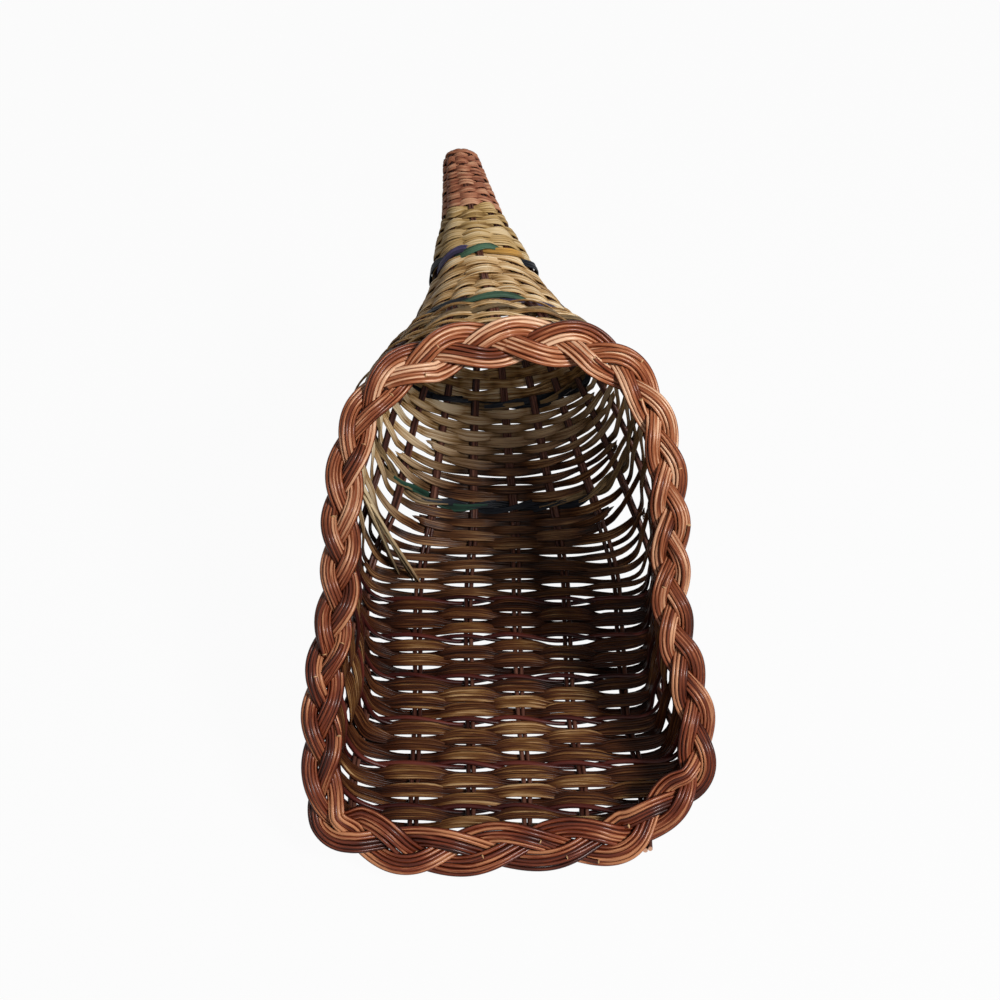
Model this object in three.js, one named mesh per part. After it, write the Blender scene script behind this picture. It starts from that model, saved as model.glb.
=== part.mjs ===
// A cornucopia basket: a horn woven of cane that lies on its flat floor, with a slanted mouth, a plaited
// border round the mouth and a tail that rises behind. Millimetres, +Z up, +Y towards the tail.
//
// Paired rods, the stakes, run the length of the horn. Flat weavers cross them in courses, over one stake
// and under the next, and neighbouring courses pass on opposite sides. Near the slanted mouth a course is
// an open U that ends at the border. Behind it each course is a closed ring. Every other stake runs to
// the tip, and the bye-stakes between them end where the tail gets narrow.
import * as THREE from "three";

// Cane sizes
const ROD = 2.6; // diameter of one stake rod
const STAKE_WIDTH = 5.2; // a pair of rods side by side
const WEAVER = 1.6; // thickness of a flat weaver
const TIP_SHARE = 0.55; // cane at the tip, as a share of its size at the mouth
const TIP_STAKE_WIDTH = 2; // a stake is down to one thin rod at the tip
const WEAVE_CLEARANCE = 0.6; // between a weaver and the stake that it crosses
const SIDE_CLEARANCE = 0.4; // how far a weaver lies flat past each side of a stake
const COURSE_GAP = 1; // between neighbouring courses

// The mouth and the floor
const MOUTH_REACH = 183; // from the front lip back to the top of the mouth
const HEIGHT = 195; // of the horn at the top of the mouth
const FLARE_WIDTH = 187; // across the front corners
const FLARE_BACK = 44; // the corners lie this far behind the lip
const FLARE_DRIFT = 2.5; // sideways, of the lip and the corners
const WAIST_WIDTH = 164; // where the sides draw in
const WAIST_BACK = 95; // from the lip
const ARCH_WIDTH = 176; // at the top of the mouth
const ARCH_DRIFT = -1.5; // sideways, there and at the heel
const ARCH_DEPTH = 3; // the horn keeps its full height for this far behind the top of the mouth
const LIP_RISE = 9; // the floor turns up by this much to meet the border
const MOUTH_TURN = 6.5; // degrees by which the mouth faces the +X side, so that its corner there is cut back
const FLOOR_SQUARENESS = 6; // of the lower half of the outline; 2 is round, and more is squarer
const ARCH_SQUARENESS = 2.8; // of its upper half
const ROUND = 2;

// The heel, where the floor turns up into the tail. Behind is from the top of the mouth, rise is from the
// floor, and drop is how much less high the horn is than at the top of the mouth. Lean is in degrees, and
// below and above say how square the lower and upper halves of its outline are.
const HEEL = { behind: 42, rise: 14, drop: 12, width: 158, lean: 7, below: 3, above: 2.4 };
const NAPE = { behind: 72, rise: 50, drop: 45, width: 134, lean: 14.3, below: 2.3, above: 2.1 };

// The tail: a straight axis that rises and drifts to one side
const NECK_BEHIND = 77; // from the top of the mouth to where the axis starts
const NECK_DROP = 45; // from the top of the mouth down to it
const NECK_RADIUS = 46;
const NECK_DRIFT = -8; // sideways, where the tail starts
const TAIL_SLOPE = 30; // degrees above the floor
const TAIL_LENGTH = 107;
const TAIL_DRIFT = -28; // sideways, at the tip
const TAIL_ROOT = { along: 12, radius: 38 };
const TAIL_BEND = { along: 25, radius: 31.2 };
const TAIL_MIDDLE = { along: 48, radius: 24.8 };
const TIP_ROOT = { along: 64, radius: 18.6 };
const TIP_MIDDLE = { along: 79, radius: 15.2 };
const TIP_RADIUS = 9.8;
const TIP_CAP_LENGTH = 6;
const CAP_CLEARANCE = 0.4;

// Stakes and courses
const LONG_STAKES = 10; // as many bye-stakes stand between them
const SIDE_SPREAD = 0.12; // stakes stand wider at the sides of the mouth and closer on its floor
const STAKE_PHASE = 0.23; // the first stake lies this share of a space beside the middle of the floor
const FIRST_COURSE = 14; // from the lip, just behind the border
const PAIRINGS = 6; // dark pairing rows on the floor, with two weavers between them
const ACCENTS = 3; // dyed rows round the back, with three weavers between them
const TAIL_WEAVERS = 4;
const TAIL_WOVEN = 39; // length of the plain part of the tail
const TIP_WEAVERS = 3;
const TIP_WOVEN = 38; // length of the dark tip

// The plaited border
const BORDER_STRANDS = 3;
const BORDER_TURNS = 9; // each strand swings to the outside this many times
const SIDE_TURNS = 0.18; // share by which the turns are closer at the sides of the mouth
const TOP_TURNS = 0.07; // share by which they are closer at its top than at its bottom
const BORDER_WIDTH = 27;
const STRAND_WIDTH = 8.4;
const STRAND_THICKNESS = 3.8;
const STRAND_CLEARANCE = 2.7; // between strands where they cross, with some taken up by their facets
const STRAND_STRETCH = 1.22; // a strand crosses the border at a slant, and looks this much wider there
const BORDER_CLEARANCE = 0.35; // between the border and what ends behind it
const SEAT_SHARE = 1.3; // a stake's end keeps this many times its least distance from a strand

// Fineness of the model
const OUTLINE_STEPS = 160;
const RIM_STEPS = 72;
const RIM_SAMPLES = 576;
const STEPS_PER_TURN = 9;
const CAP_STEPS = 4;
const SEARCH_STEPS = 36;
const BEND_TOLERANCE = 0.24;
const STEP_ALONG = 0.5; // for measuring directions on the wall
const STEP_ROUND = 0.01;

const { clamp, degToRad, lerp } = THREE.MathUtils;
const list = (count, make) => Array.from({ length: count }, (_, i) => make(i));
const TURN = 2 * Math.PI;
const STAKES = 2 * LONG_STAKES;
const WALL_DEPTH = ROD / 2 + WEAVE_CLEARANCE + WEAVER; // from a stake's middle out to a weaver's face

// The horn's wall

// A curve through values at rising knots that never overshoots, so that a flat stretch stays flat. Past
// its ends it runs on straight.
function monotone(knots, values) {
  const last = knots.length - 1;
  const rise = list(last, (i) => (values[i + 1] - values[i]) / (knots[i + 1] - knots[i]));
  const slope = values.map((_, i) => {
    if (i === 0 || i === last) return rise[Math.min(i, last - 1)];
    const [a, b] = [rise[i - 1], rise[i]];
    return a * b <= 0 ? 0 : (2 * a * b) / (a + b);
  });
  return (t) => {
    if (t < knots[0]) return values[0] + slope[0] * (t - knots[0]);
    if (t > knots[last]) return values[last] + slope[last] * (t - knots[last]);
    const i = Math.max(0, knots.findIndex((k) => t <= k) - 1);
    const span = knots[i + 1] - knots[i];
    const u = (t - knots[i]) / span;
    const start = values[i] + u * (2 * values[i] + span * slope[i]);
    const end = values[i + 1] + (1 - u) * (2 * values[i + 1] - span * slope[i + 1]);
    return start * (1 - u) ** 2 + end * u ** 2;
  };
}

// Each station is an outline in a plane through the X direction. y and z place its lowest point, lean tips
// its top towards the mouth, and below and above say how square its lower and upper halves are.
function mouthStation(y, width, drift, rise = 0) {
  return {
    y,
    z: WALL_DEPTH + rise,
    lean: 0,
    height: HEIGHT - rise,
    width,
    below: FLOOR_SQUARENESS,
    above: ARCH_SQUARENESS,
    drift,
  };
}
function heelStation({ behind, rise, drop, width, lean, below, above }, drift) {
  const [y, height] = [MOUTH_REACH + behind, HEIGHT - drop];
  return { y, z: WALL_DEPTH + rise, lean, height, width, below, above, drift };
}
function tailStation({ along, radius }) {
  const slope = degToRad(TAIL_SLOPE);
  return {
    y: MOUTH_REACH + NECK_BEHIND + along * Math.cos(slope) + radius * Math.sin(slope),
    z: HEIGHT - NECK_DROP + along * Math.sin(slope) - radius * Math.cos(slope),
    lean: TAIL_SLOPE,
    height: 2 * radius,
    width: 2 * radius,
    below: ROUND,
    above: ROUND,
    drift: lerp(NECK_DRIFT, TAIL_DRIFT, along / TAIL_LENGTH),
  };
}
const mouthTop = mouthStation(MOUTH_REACH + ARCH_DEPTH, ARCH_WIDTH, ARCH_DRIFT);
const neck = tailStation({ along: 0, radius: NECK_RADIUS });
const stations = [
  mouthStation(0, FLARE_WIDTH, FLARE_DRIFT, LIP_RISE),
  mouthStation(FLARE_BACK, FLARE_WIDTH, FLARE_DRIFT),
  mouthStation(WAIST_BACK, WAIST_WIDTH, 0),
  mouthTop,
  heelStation(HEEL, ARCH_DRIFT),
  heelStation(NAPE, (ARCH_DRIFT + NECK_DRIFT) / 2),
  neck,
  ...[TAIL_ROOT, TAIL_BEND, TAIL_MIDDLE, TIP_ROOT, TIP_MIDDLE].map(tailStation),
  tailStation({ along: TAIL_LENGTH, radius: TIP_RADIUS }),
];

// t is the way along the horn, measured on its underside from the lip.
const stops = [0];
for (let i = 1; i < stations.length; i++) {
  const [a, b] = [stations[i - 1], stations[i]];
  stops.push(stops[i - 1] + Math.hypot(b.y - a.y, b.z - a.z));
}
const MOUTH_TOP = stops[stations.indexOf(mouthTop)];
const NECK = stops[stations.indexOf(neck)];
const TIP_END = stops.at(-1);
const station = {};
for (const key of Object.keys(mouthTop)) station[key] = monotone(stops, stations.map((s) => s[key]));

// One side of the outline at t, from its lowest to its highest point, with the length run so far.
const outlines = new Map();
function outlineAt(t) {
  if (outlines.has(t)) return outlines.get(t);
  const [half, middle] = [station.width(t) / 2, station.height(t) / 2];
  const outline = [];
  for (let i = 0; i <= OUTLINE_STEPS; i++) {
    const angle = (Math.PI * i) / OUTLINE_STEPS;
    const power = 2 / (angle < Math.PI / 2 ? station.below(t) : station.above(t));
    const x = half * Math.abs(Math.sin(angle)) ** power;
    const h = middle - Math.sign(Math.cos(angle)) * middle * Math.abs(Math.cos(angle)) ** power;
    const before = outline.at(-1) ?? { x, h, run: 0 };
    outline.push({ x, h, run: before.run + Math.hypot(x - before.x, h - before.h) });
  }
  outlines.set(t, outline);
  return outline;
}
const halfGirth = (t) => outlineAt(t).at(-1).run;

// The wall's middle surface: t along the horn, v round it, 0 below, 1 on top, negative on the -X side.
const sideSpread = (t) => SIDE_SPREAD * clamp((NECK - t) / (NECK - MOUTH_TOP), 0, 1);
function wallPoint(t, v) {
  const signed = v - 2 * Math.round(v / 2);
  const place = Math.abs(signed);
  const outline = outlineAt(t);
  const run = (place - (sideSpread(t) * Math.sin(TURN * place)) / TURN) * halfGirth(t);
  const next = outline.findIndex((p, i) => i > 0 && (p.run >= run || i === OUTLINE_STEPS));
  const [a, b] = [outline[next - 1], outline[next]];
  const share = (run - a.run) / (b.run - a.run);
  const h = lerp(a.h, b.h, share);
  const lean = degToRad(station.lean(t));
  return new THREE.Vector3(
    station.drift(t) + Math.sign(signed) * lerp(a.x, b.x, share),
    station.y(t) - h * Math.sin(lean),
    station.z(t) + h * Math.cos(lean),
  );
}
const wallAlong = (t, v) => wallPoint(t + STEP_ALONG, v).sub(wallPoint(t - STEP_ALONG, v));
const wallRound = (t, v) => wallPoint(t, v + STEP_ROUND).sub(wallPoint(t, v - STEP_ROUND));
const wallNormal = (t, v) => wallAlong(t, v).cross(wallRound(t, v)).normalize();
// How far the wall runs at a place for each step of t: 1 on the underside, and less on the inside of a bend.
const wallPace = (t, v) => wallAlong(t, v).length() / (2 * STEP_ALONG);

// Cane gets thinner from the neck to the tip.
const towardsTip = (t) => clamp((t - NECK) / (TIP_END - NECK), 0, 1);
const caneShare = (t) => lerp(1, TIP_SHARE, towardsTip(t));
const stakeWidth = (t) => lerp(STAKE_WIDTH, TIP_STAKE_WIDTH, towardsTip(t));
const weaveOffset = (t) => caneShare(t) * (ROD / 2 + WEAVER / 2) + WEAVE_CLEARANCE;

// Solids

// A closed solid through rings of equally many points. A run that doesn't close gets flat ends.
function sweep(rings, closed) {
  const n = rings[0].length;
  const points = rings.flat();
  const faces = [];
  const spans = closed ? rings.length : rings.length - 1;
  for (let i = 0; i < spans; i++) {
    const [here, next] = [i * n, ((i + 1) % rings.length) * n];
    for (let j = 0; j < n; j++) {
      const k = (j + 1) % n;
      faces.push([here + j, next + j, next + k], [here + j, next + k, here + k]);
    }
  }
  const last = points.length - n;
  for (let j = 1; !closed && j < n - 1; j++) faces.push([0, j, j + 1], [last, last + j + 1, last + j]);
  const volume = ([a, b, c]) => points[a].dot(points[b].clone().cross(points[c]));
  const outward = faces.reduce((sum, face) => sum + volume(face), 0) > 0;
  const geometry = new THREE.BufferGeometry().setFromPoints(points);
  geometry.setIndex(faces.map(([a, b, c]) => (outward ? [a, b, c] : [a, c, b])).flat());
  geometry.computeVertexNormals();
  return geometry;
}

// A flattened six-sided section, as a pair of rods or a bundle of them has.
function bundle(centre, across, up, width, thickness) {
  const [w, h] = [width / 2, thickness / 2];
  const corners = [[w, 0], [w / 2, h], [-w / 2, h], [-w, 0], [-w / 2, -h], [w / 2, -h]];
  return corners.map(([a, b]) => centre.clone().addScaledVector(across, a).addScaledVector(up, b));
}

// The least value between low and high from which on the test holds.
function firstWhere(low, high, test) {
  let [fails, holds] = [low, high];
  for (let i = 0; i < SEARCH_STEPS; i++) {
    const middle = (fails + holds) / 2;
    if (test(middle)) holds = middle;
    else fails = middle;
  }
  return holds;
}

// The border

// The rim is where the wall meets the plane of the mouth, from the lip back to the top of the mouth.
const slant = Math.atan2(MOUTH_REACH, HEIGHT - LIP_RISE);
const mouthAxis = new THREE.Vector3(0, 0, 1);
const mouthNormal = new THREE.Vector3(0, -Math.cos(slant), Math.sin(slant));
mouthNormal.applyAxisAngle(mouthAxis, degToRad(MOUTH_TURN));
const lip = wallPoint(0, 0);
const behindMouth = (p) => lip.clone().sub(p).dot(mouthNormal);
const mouthAt = (v) => firstWhere(-FLARE_BACK, NECK, (t) => behindMouth(wallPoint(t, v)) >= 0);
const rimPlaces = list(RIM_STEPS, (i) => (2 * i) / RIM_STEPS - 1);
const rim = new THREE.CatmullRomCurve3(rimPlaces.map((v) => wallPoint(mouthAt(v), v)), true);
rim.arcLengthDivisions = RIM_SAMPLES;
const rimPoints = list(RIM_SAMPLES, (i) => rim.getPointAt(i / RIM_SAMPLES));
const rimOutward = (share) => rim.getTangentAt(share).cross(mouthNormal).normalize();

// Strands swing from side to side, a third of a turn apart. A strand that leaves either edge goes over the
// next one and then under the third. The pace makes long turns at the bottom of the mouth and short ones
// at its sides.
const SWING = (BORDER_WIDTH - STRAND_WIDTH) / 2;
const LIFT = (STRAND_THICKNESS + STRAND_CLEARANCE) / (2 * Math.sin(TURN / 2 / BORDER_STRANDS));
const BORDER_BACK = LIFT + STRAND_THICKNESS / 2 + BORDER_CLEARANCE;
function strandAngle(share, strand) {
  const pace = TOP_TURNS * Math.sin(TURN * share) - (SIDE_TURNS / 2) * Math.sin(2 * TURN * share);
  return BORDER_TURNS * (TURN * share + pace) + (TURN * strand) / BORDER_STRANDS;
}
const strandSide = (angle) => SWING * Math.sin(angle);
const strandLift = (angle) => -LIFT * Math.sin(2 * angle);
function strandPoint(way, strand) {
  const share = way - Math.floor(way);
  const angle = strandAngle(share, strand);
  const point = rim.getPointAt(share).addScaledVector(rimOutward(share), strandSide(angle));
  return point.addScaledVector(mouthNormal, strandLift(angle));
}
function borderStrand(strand) {
  const count = BORDER_TURNS * STEPS_PER_TURN;
  const rings = list(count, (i) => {
    const ahead = strandPoint((i + 1 / 2) / count, strand).sub(strandPoint((i - 1 / 2) / count, strand));
    const across = ahead.clone().cross(mouthNormal).normalize();
    const up = across.clone().cross(ahead).normalize();
    return bundle(strandPoint(i / count, strand), across, up, STRAND_WIDTH, STRAND_THICKNESS);
  });
  return sweep(rings, true);
}

// True where a point is clear of every strand of the border.
function clearOfBorder(p) {
  const depth = behindMouth(p);
  if (depth > BORDER_BACK) return true;
  const onMouth = p.clone().addScaledVector(mouthNormal, depth);
  const away = rimPoints.map((q) => q.distanceTo(onMouth));
  const nearest = away.indexOf(Math.min(...away));
  const share = nearest / RIM_SAMPLES;
  const side = onMouth.sub(rimPoints[nearest]).dot(rimOutward(share));
  const width = (STRAND_WIDTH / 2) * STRAND_STRETCH + BORDER_CLEARANCE;
  const height = STRAND_THICKNESS / 2 + BORDER_CLEARANCE;
  return list(BORDER_STRANDS, (strand) => strandAngle(share, strand)).every((angle) => {
    const [across, up] = [(side - strandSide(angle)) / width, (depth + strandLift(angle)) / height];
    return Math.hypot(across, up) > SEAT_SHARE;
  });
}

// Courses

// Spreads a zone's courses from one place to another. A course's share is its part of the zone.
function spread(zone, from, to) {
  const whole = zone.reduce((sum, c) => sum + c.share, 0);
  let at = from;
  return zone.map(({ kind, share }) => {
    const start = at;
    at += ((to - from) * share) / whole;
    return { kind, from: start, to: at };
  });
}
const weaver = (kind, share) => ({ kind, share });
const floorZone = [weaver("floor_weaver", 2)];
for (let i = 0; i < PAIRINGS; i++) {
  if (i > 0) floorZone.push(weaver("floor_weaver", 2), weaver("floor_weaver", 2));
  floorZone.push(weaver("floor_pairing", 1));
}
const backGroup = [...list(3, () => weaver("back_weaver", 3)), weaver("accent_pairing", 1)];
const backZone = list(ACCENTS, () => backGroup).flat();
const tailZone = list(TAIL_WEAVERS, () => weaver("tail_weaver", 1));
const tipZone = list(TIP_WEAVERS, () => weaver("tip_weaver", 1));
const TIP_START = TIP_END - TIP_WOVEN;
const TAIL_START = TIP_START - TAIL_WOVEN;
const courses = [
  ...spread(floorZone, FIRST_COURSE, MOUTH_TOP),
  ...spread(backZone, MOUTH_TOP, TAIL_START),
  ...spread(tailZone, TAIL_START, TIP_START),
  ...spread(tipZone, TIP_START, TIP_END),
];

// Where the stakes stand round the horn, from the -X side of the top round to the +X side.
const firstPlace = Math.ceil(-LONG_STAKES - STAKE_PHASE);
const stakePlaces = list(STAKES, (i) => {
  const place = firstPlace + i;
  return { v: (place + STAKE_PHASE) / LONG_STAKES, long: place % 2 === 0 };
});

// How far up one side the wall at t stays behind the border: 1 where it does up to the top.
function reachAt(t, way) {
  const behind = (v) => behindMouth(wallPoint(t, way * v)) > BORDER_BACK + WALL_DEPTH * Math.sin(slant);
  return behind(1) ? 1 : firstWhere(0, 1, (v) => !behind(v));
}

// A course is a flat weaver that lies on every stake in turn, outside and inside by turns. An open one
// runs on past its last stake towards the next, and stops at the border.
function course({ from, to }, phase) {
  const front = (v) => from + COURSE_GAP / 2 / wallPace(from, v);
  const rear = (v) => to - COURSE_GAP / 2 / wallPace(to, v);
  const section = (v, side) => {
    const corner = (t, face) => {
      const out = side * weaveOffset(t) + (face * caneShare(t) * WEAVER) / 2;
      return wallPoint(t, v).addScaledVector(wallNormal(t, v), out);
    };
    return [corner(front(v), 1), corner(rear(v), 1), corner(rear(v), -1), corner(front(v), -1)];
  };
  const flat = (t) => (stakeWidth(t) / 2 + SIDE_CLEARANCE) / halfGirth(t) / (1 - sideSpread(t));
  const half = Math.max(flat(from), flat(to));
  const crossed = stakePlaces.filter((s) => s.long || (from + to) / 2 < TAIL_START);
  const landings = crossed.map((s, i) => ({ v: s.v, side: (i + phase) % 2 ? -1 : 1 }));
  const lie = (s) => [section(s.v - half, s.side), section(s.v + half, s.side)];
  const [left, right] = [reachAt(from, -1), reachAt(from, 1)];
  if (Math.min(left, right) === 1) return sweep(landings.flatMap(lie), true);

  const open = landings.filter((s) => s.v - half >= -left && s.v + half <= right);
  const end = (s, way) => {
    const start = s.v + way * half;
    const stop = s.v + way * (2 / crossed.length - half);
    const v = way * Math.min(way < 0 ? left : right, way * stop);
    return section(v, s.side * (1 - (2 * (v - start)) / (stop - start)));
  };
  return sweep([end(open[0], -1), ...open.flatMap(lie), end(open.at(-1), 1)], false);
}

// Stakes

// A stake starts against the border and bends where courses meet, so that it and the weavers on it stay
// parallel. Where it runs straight enough, it needs no bend.
function stake({ v, long }) {
  const section = (t) => {
    const normal = wallNormal(t, v);
    const across = wallAlong(t, v).cross(normal).normalize();
    return bundle(wallPoint(t, v), across, normal, stakeWidth(t), caneShare(t) * ROD);
  };
  const mouth = mouthAt(v);
  const start = firstWhere(mouth, mouth + BORDER_WIDTH, (t) => section(t).every(clearOfBorder));
  const end = long ? TIP_END : TAIL_START - COURSE_GAP;
  const edges = courses.map((c) => c.to).filter((t) => t > start + ROD && t < end - ROD);
  const bends = [start];
  edges.forEach((t, i) => {
    const straight = new THREE.Line3(wallPoint(bends.at(-1), v), wallPoint(edges[i + 1] ?? end, v));
    const nearest = straight.closestPointToPoint(wallPoint(t, v), true, new THREE.Vector3());
    if (nearest.distanceTo(wallPoint(t, v)) > BEND_TOLERANCE) bends.push(t);
  });
  return sweep([...bends, end].map(section), false);
}

// A domed plug of wound cane closes the tip over the stakes' ends.
function tipCap() {
  const radius = TIP_RADIUS + caneShare(TIP_END) * ROD;
  const dome = list(CAP_STEPS, (i) => {
    const angle = (TURN / 4) * (i / CAP_STEPS);
    return new THREE.Vector2(radius * Math.cos(angle), TIP_CAP_LENGTH * Math.sin(angle));
  });
  const profile = [new THREE.Vector2(0, 0), ...dome, new THREE.Vector2(0, TIP_CAP_LENGTH)];
  const axis = new THREE.Vector3(0, Math.cos(degToRad(TAIL_SLOPE)), Math.sin(degToRad(TAIL_SLOPE)));
  const tip = wallPoint(TIP_END, 0).lerp(wallPoint(TIP_END, 1), 1 / 2).addScaledVector(axis, CAP_CLEARANCE);
  const turn = new THREE.Quaternion().setFromUnitVectors(new THREE.Vector3(0, 1, 0), axis);
  const geometry = new THREE.LatheGeometry(profile, LONG_STAKES);
  return geometry.applyQuaternion(turn).translate(tip.x, tip.y, tip.z);
}

// The basket

const cane = (color, roughness) => new THREE.MeshStandardMaterial({ color, roughness, metalness: 0 });
const darkStake = cane(0x4a2418, 0.5);
const redTip = cane(0x8a4a34, 0.6);
const materials = {
  long_stake: darkStake,
  bye_stake: darkStake,
  floor_weaver: cane(0x7a5a30, 0.6),
  floor_pairing: cane(0x4a1a16, 0.5),
  back_weaver: cane(0x9a7a4a, 0.6),
  accent_pairing: cane(0x2f5a48, 0.6),
  tail_weaver: cane(0xb3965f, 0.65),
  tip_weaver: redTip,
  tip_cap: redTip,
  border_strand: cane(0x8e4a2c, 0.35),
};

const basket = new THREE.Group();
function add(kind, geometry) {
  const number = basket.children.filter((m) => m.name.startsWith(kind)).length + 1;
  const mesh = new THREE.Mesh(geometry, materials[kind]);
  mesh.name = `${kind}_${String(number).padStart(2, "0")}`;
  basket.add(mesh);
}
for (const place of stakePlaces) add(place.long ? "long_stake" : "bye_stake", stake(place));
courses.forEach((c, i) => add(c.kind, course(c, i)));
for (let i = 0; i < BORDER_STRANDS; i++) add("border_strand", borderStrand(i));
add("tip_cap", tipCap());

// The origin is under the middle of the basket, on the surface that it stands on.
const box = new THREE.Box3().setFromObject(basket);
const centre = box.getCenter(new THREE.Vector3());
basket.position.set(-centre.x, -centre.y, -box.min.z);

export default basket;
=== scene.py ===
# %% [markdown]
# # A cornucopia basket, woven of cane
# A cornucopia is a horn of cane on its side, with its mouth to the front and its tail rising behind. Pairs
# of rods, the stakes, run from mouth to tip. Fine weavers cross them by turns inside and outside, and a
# plait of rods finishes the mouth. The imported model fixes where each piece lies, so it is loaded first, and
# each part of this lesson replaces some of its plain solids.

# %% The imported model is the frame
from math import cos, hypot, pi, radians, sin

import bpy
import numpy as np
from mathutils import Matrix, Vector


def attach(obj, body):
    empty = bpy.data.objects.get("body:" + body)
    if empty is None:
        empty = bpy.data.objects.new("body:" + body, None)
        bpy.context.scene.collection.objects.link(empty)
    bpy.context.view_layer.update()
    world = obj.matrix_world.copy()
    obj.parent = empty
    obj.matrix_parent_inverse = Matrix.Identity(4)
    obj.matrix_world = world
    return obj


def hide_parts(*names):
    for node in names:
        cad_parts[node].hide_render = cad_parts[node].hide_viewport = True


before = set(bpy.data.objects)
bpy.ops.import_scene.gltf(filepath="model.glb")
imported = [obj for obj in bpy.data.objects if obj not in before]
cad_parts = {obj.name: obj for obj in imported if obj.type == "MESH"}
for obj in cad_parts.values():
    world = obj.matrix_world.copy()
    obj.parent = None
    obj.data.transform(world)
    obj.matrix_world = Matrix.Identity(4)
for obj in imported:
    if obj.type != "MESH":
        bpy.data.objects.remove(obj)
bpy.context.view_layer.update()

# %% [markdown]
# ## The horn's wall
# All cane lies on one surface, so that surface comes first, as a rule rather than a mesh. Each station is
# an outline across the horn: a flat-floored arch at the mouth that gets rounder towards the tail. A curve
# that never overshoots joins the stations, so that the floor stays flat. Modelling the wall by hand would
# work too, but then nothing could be laid on it by numbers.

# %% Stations along the horn, in millimetres
MM = 0.001
PLACE = np.array([-2.075, -172.869, -0.001])  # moves the front lip to its place in the frame
# below and above: how square the two halves of an outline are, from 2, an ellipse, upwards
STATION_KEYS = ("y", "z", "lean", "height", "width", "below", "above", "drift")
stations = [
    (0, 12.5, 0, 186, 187, 7.5, 2.8, 2.5),
    (44, 3.5, 0, 195, 187, 9, 2.8, 2.5),
    (95, 3.5, 0, 195, 164, 11, 2.8, 0),
    (186, 3.5, 0, 195, 176, 11, 2.8, -1.5),
    (225, 17.5, 7, 183, 158, 3.6, 2.4, -1.5),
    (255, 53.5, 14.3, 150, 134, 2.3, 2.1, -4.75),
]
TAIL_SLOPE = 30
TAIL_AXIS = np.array([0, cos(radians(TAIL_SLOPE)), sin(radians(TAIL_SLOPE))])
NECK_Y, NECK_Z = 260, 150
TAIL_DRIFT = (-8, -28)
TAIL_RADII = [(0, 46), (12, 38), (25, 31.2), (48, 24.8), (64, 18.6), (79, 15.2), (107, 9.8)]
for along, radius in TAIL_RADII:
    y = NECK_Y + along * TAIL_AXIS[1] + radius * TAIL_AXIS[2]
    z = NECK_Z + along * TAIL_AXIS[2] - radius * TAIL_AXIS[1]
    drift = np.interp(along / TAIL_RADII[-1][0], (0, 1), TAIL_DRIFT)
    stations.append((y, z, TAIL_SLOPE, 2 * radius, 2 * radius, 2, 2, drift))
stations = np.array(stations, float)
hops = np.hypot(np.diff(stations[:, 0]), np.diff(stations[:, 1]))
stops = np.concatenate(([0], np.cumsum(hops)))
MOUTH_TOP, NECK, TIP_END = stops[3], stops[6], stops[-1]
print("ways: mouth top", MOUTH_TOP, "neck", NECK, "tip", TIP_END)


# %% A curve through the stations that never overshoots
def smooth_run(knots, values):
    rise = np.diff(values) / np.diff(knots)
    before, after = rise[:-1], rise[1:]
    bends = before * after > 0
    slope = np.concatenate(([rise[0]], np.zeros(len(before)), [rise[-1]]))
    slope[1:-1][bends] = 2 * before[bends] * after[bends] / (before[bends] + after[bends])

    def at(way):
        inside = np.clip(way, knots[0], knots[-1])
        i = np.clip(np.searchsorted(knots, inside) - 1, 0, len(rise) - 1)
        span = knots[i + 1] - knots[i]
        u = (inside - knots[i]) / span
        start = values[i] + u * (2 * values[i] + span * slope[i])
        end = values[i + 1] + (1 - u) * (2 * values[i + 1] - span * slope[i + 1])
        past = (way - inside) * np.where(way < inside, slope[0], slope[-1])
        return start * (1 - u) ** 2 + end * u**2 + past

    return at


horn = {key: smooth_run(stops, stations[:, i]) for i, key in enumerate(STATION_KEYS)}
print("height at the neck:", float(horn["height"](NECK)))

# %% [markdown]
# ## The wall as a grid of points
# A place on the wall has two numbers: the way along the horn and the turn round it, 0 below and 1 on top.
# The outline's own length gives even turns, as a maker spaces stakes with a thumb. A fine grid of points
# is worked out once, and every later place is read between its points, which is quick.

# %% The grid
WAY_STEP, HALF_TURN_STEPS, OUTLINE_STEPS = 0.75, 200, 160
BEFORE_LIP, PAST_TIP = 24, 8  # how far the grid goes on at both ends
SIDE_SPREAD = 0.12  # stakes stand wider at the mouth's sides and closer on its floor
ways = np.arange(-BEFORE_LIP, TIP_END + PAST_TIP, WAY_STEP)
turns = np.linspace(0, 1, HALF_TURN_STEPS + 1)
angles = np.linspace(0, pi, OUTLINE_STEPS + 1)
here = {key: run(ways)[:, None] for key, run in horn.items()}
power = 2 / np.where(angles < pi / 2, here["below"], here["above"])
outline_x = here["width"] / 2 * np.abs(np.sin(angles)) ** power
outline_h = here["height"] / 2 * (1 - np.sign(np.cos(angles)) * np.abs(np.cos(angles)) ** power)
steps = np.hypot(np.diff(outline_x), np.diff(outline_h))
runs = np.concatenate((np.zeros((len(ways), 1)), np.cumsum(steps, axis=1)), axis=1)
spreads = SIDE_SPREAD * np.clip((NECK - ways) / (NECK - MOUTH_TOP), 0, 1)
half = np.empty((len(ways), len(turns), 3))
for i, run in enumerate(runs):
    wanted = (turns - spreads[i] * np.sin(2 * pi * turns) / (2 * pi)) * run[-1]
    h = np.interp(wanted, run, outline_h[i])
    lean = radians(here["lean"][i, 0])
    half[i, :, 0] = np.interp(wanted, run, outline_x[i])
    half[i, :, 1] = here["y"][i] - h * sin(lean)
    half[i, :, 2] = here["z"][i] + h * cos(lean)
grid = np.concatenate((half[:, :0:-1] * (-1, 1, 1), half), axis=1)
grid[:, :, 0] += here["drift"]
grid += PLACE
print("wall grid:", grid.shape, "lowest", grid[..., 2].min(), "highest", grid[..., 2].max())

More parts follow.
